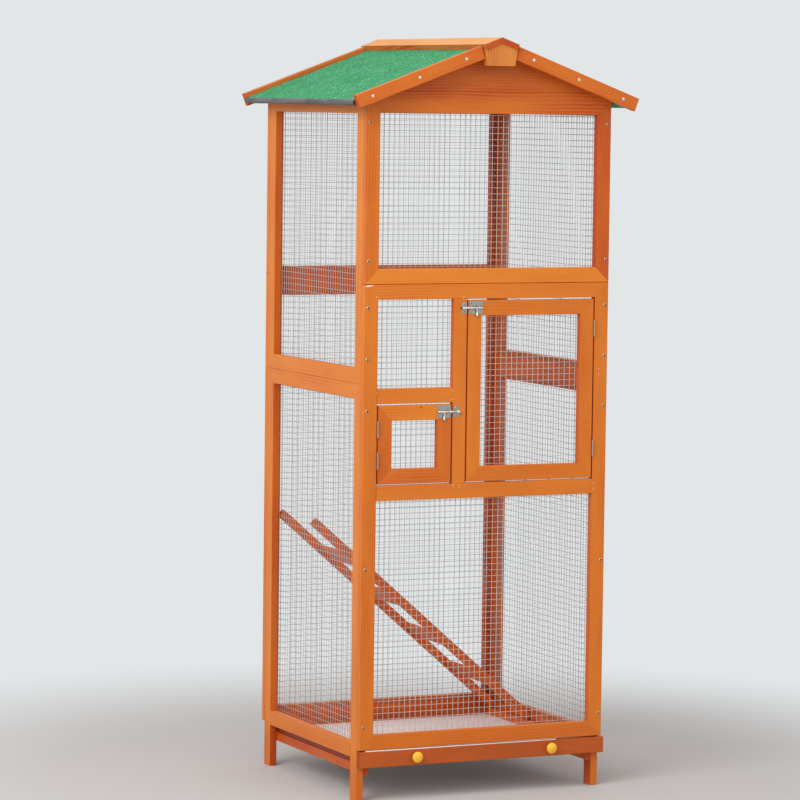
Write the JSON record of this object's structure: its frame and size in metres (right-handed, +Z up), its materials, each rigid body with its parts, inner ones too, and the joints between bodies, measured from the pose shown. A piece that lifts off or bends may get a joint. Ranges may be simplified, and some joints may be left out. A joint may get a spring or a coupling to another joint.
{
  "type": "bird cage",
  "caption": "Tall free-standing wooden bird cage with wire net panels, a felted gable roof, hinged front doors with bolts, an inner ladder and a slide-out floor drawer.",
  "frame": {"origin": "on the floor, in the middle under the cage", "axes": "+X to the right seen from the front, +Y from the front to the back, +Z up"},
  "size_m": [0.678, 0.647, 1.65],
  "materials": {
    "stained_pine": "orange stained pine, satin",
    "drawer_pine": "redder stained pine, satin",
    "galvanised_wire": "dull zinc",
    "zinc_hardware": "bright zinc",
    "green_felt": "mineral granules",
    "tray_sheet": "pale smooth sheet",
    "yellow_knob": "gloss"
  },
  "bodies": {
    "cage": {"front_upper_stiles": "stained_pine", "front_upper_rail": "stained_pine", "front_gable_boards": "stained_pine", "front_lower_stiles": "stained_pine", "front_lower_rails": "stained_pine", "front_mullion": "stained_pine", "front_short_rail": "stained_pine", "left_legs": "stained_pine", "left_lower_rails": "stained_pine", "left_upper_stiles": "stained_pine", "left_upper_rails": "stained_pine", "right_legs": "stained_pine", "right_lower_rails": "stained_pine", "right_upper_stiles": "stained_pine", "right_upper_rails": "stained_pine", "back_upper_stiles": "stained_pine", "back_upper_rail": "stained_pine", "back_gable_boards": "stained_pine", "back_lower_stiles": "stained_pine", "back_lower_rails": "stained_pine", "roof_boards": "stained_pine", "front_barge_boards": "stained_pine", "rear_barge_boards": "stained_pine", "ridge_cap_boards": "stained_pine", "ridge_end_blocks": "stained_pine", "ladder_rails": "stained_pine", "ladder_slats": "stained_pine", "drawer_runners": "drawer_pine", "front_upper_net": "galvanised_wire", "front_lower_net": "galvanised_wire", "front_window_net": "galvanised_wire", "left_lower_net": "galvanised_wire", "left_upper_net": "galvanised_wire", "right_lower_net": "galvanised_wire", "right_upper_net": "galvanised_wire", "back_upper_net": "galvanised_wire", "back_lower_net": "galvanised_wire", "frame_hinge_leaves": "zinc_hardware", "hinge_pins": "zinc_hardware", "main_bolt_keeper": "zinc_hardware", "small_bolt_keeper": "zinc_hardware", "frame_screws": "zinc_hardware", "barge_nails": "zinc_hardware", "roof_felt": "green_felt"},
    "main_door": {"main_door_stiles": "stained_pine", "main_door_rails": "stained_pine", "main_door_net": "galvanised_wire", "main_door_hinge_leaves": "zinc_hardware", "main_bolt_plate": "zinc_hardware"},
    "small_door": {"small_door_stiles": "stained_pine", "small_door_rails": "stained_pine", "small_door_net": "galvanised_wire", "small_door_hinge_leaves": "zinc_hardware", "small_bolt_plate": "zinc_hardware"},
    "main_bolt": {"main_bolt_rod": "zinc_hardware"},
    "small_bolt": {"small_bolt_rod": "zinc_hardware"},
    "drawer": {"drawer_front": "drawer_pine", "drawer_frame": "drawer_pine", "drawer_floor": "tray_sheet", "drawer_knobs": "yellow_knob"}
  },
  "joints": [
    {"name": "main_door_hinge", "type": "hinge", "parent": "cage", "child": "main_door", "pos_m": [0.25975, -0.2733, 0.9], "axis": [0, 0, 1], "range_deg": [0, 170]},
    {"name": "small_door_hinge", "type": "hinge", "parent": "cage", "child": "small_door", "pos_m": [-0.25975, -0.2733, 0.8], "axis": [0, 0, -1], "range_deg": [0, 170]},
    {"name": "main_bolt_slide", "type": "slide", "parent": "main_door", "child": "main_bolt", "axis": [-1, 0, 0], "range_m": [0, 0.01]},
    {"name": "small_bolt_slide", "type": "slide", "parent": "small_door", "child": "small_bolt", "axis": [1, 0, 0], "range_m": [0, 0.01]},
    {"name": "drawer_slide", "type": "slide", "parent": "cage", "child": "drawer", "axis": [0, -1, 0], "range_m": [0, 0.45]}
  ]
}
